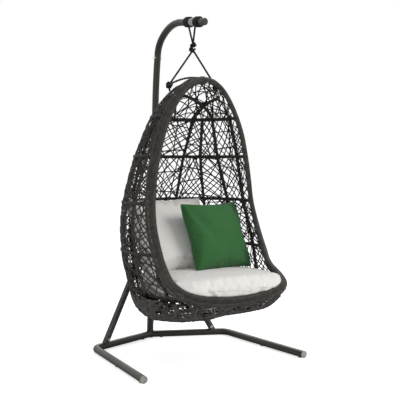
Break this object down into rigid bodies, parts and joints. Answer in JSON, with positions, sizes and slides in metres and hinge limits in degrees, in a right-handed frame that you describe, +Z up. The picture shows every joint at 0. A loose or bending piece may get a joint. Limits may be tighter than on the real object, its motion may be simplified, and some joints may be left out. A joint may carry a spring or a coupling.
{
  "type": "hanging egg chair",
  "caption": "Woven egg-shaped hanging chair with cushions, slung by rope from the arm of a bent tube stand with a splayed open base and two braces.",
  "frame": {"origin": "on the floor, under the middle of the whole chair", "axes": "+Z up, the sitter faces -Y, +X is the sitter's left; X = 0 is the plane of the mast"},
  "size_m": [1.0368, 1.0195, 1.9087],
  "materials": {
    "stand_paint": "satin powder coat",
    "zinc": "zinc plated",
    "pale_plastic": "matte",
    "rubber": "matte",
    "rope": "braided cord",
    "weave": "woven synthetic rattan",
    "wrapped_steel": "bar wrapped in synthetic rattan",
    "deck_weave": "woven synthetic rattan",
    "cream_fabric": "plain woven canvas",
    "green_fabric": "plain woven canvas"
  },
  "bodies": {
    "stand": {"base_left": "stand_paint", "base_right": "stand_paint", "base_hub": "stand_paint", "mast": "stand_paint", "mast_crook": "stand_paint", "crook_bolt": "zinc", "hub_bolt": "zinc", "brace_left": "stand_paint", "brace_right": "stand_paint", "brace_bolts": "zinc", "foot_caps": "pale_plastic", "arm_cap": "stand_paint", "floor_glides": "rubber", "arm_sleeve": "pale_plastic", "rope_winding_rear": "rope", "rope_winding_front": "rope"},
    "sling": {"upper_strands": "rope"},
    "knot": {"centre_knot": "rope"},
    "egg": {"lower_strands": "rope", "side_knot_left": "rope", "side_knot_right": "rope", "crown_rope": "rope", "rim_band": "weave", "woven_wall": "weave", "woven_basket": "weave", "rim_hoop": "wrapped_steel", "crown_ring": "wrapped_steel", "shoulder_ring": "wrapped_steel", "middle_ring": "wrapped_steel", "lower_ring": "wrapped_steel", "basket_ring": "wrapped_steel", "base_ring": "wrapped_steel", "back_ribs": "wrapped_steel", "rear_side_ribs": "wrapped_steel", "side_ribs": "wrapped_steel", "front_side_ribs": "wrapped_steel", "apron_ribs": "wrapped_steel", "crown_leg_left": "wrapped_steel", "crown_leg_right": "wrapped_steel", "crown_cross_left": "wrapped_steel", "crown_cross_right": "wrapped_steel", "deck_rails": "wrapped_steel", "seat_deck": "deck_weave", "seat_cushion": "cream_fabric", "back_cushion": "cream_fabric", "scatter_pillow": "green_fabric"}
  },
  "joints": [
    {"name": "side_swing", "type": "hinge", "parent": "stand", "child": "sling", "pos_m": [0, -0.04508, 1.86712], "axis": [0, 0.9914, 0.1305], "range_deg": [-8, 8]},
    {"name": "twist", "type": "hinge", "parent": "sling", "child": "knot", "pos_m": [0, -0.04508, 1.71112], "axis": [0, 0, 1], "range_deg": [-30, 30]},
    {"name": "fore_aft_swing", "type": "hinge", "parent": "knot", "child": "egg", "pos_m": [0, -0.04508, 1.71112], "axis": [1, 0, 0], "range_deg": [-12, 4]}
  ]
}
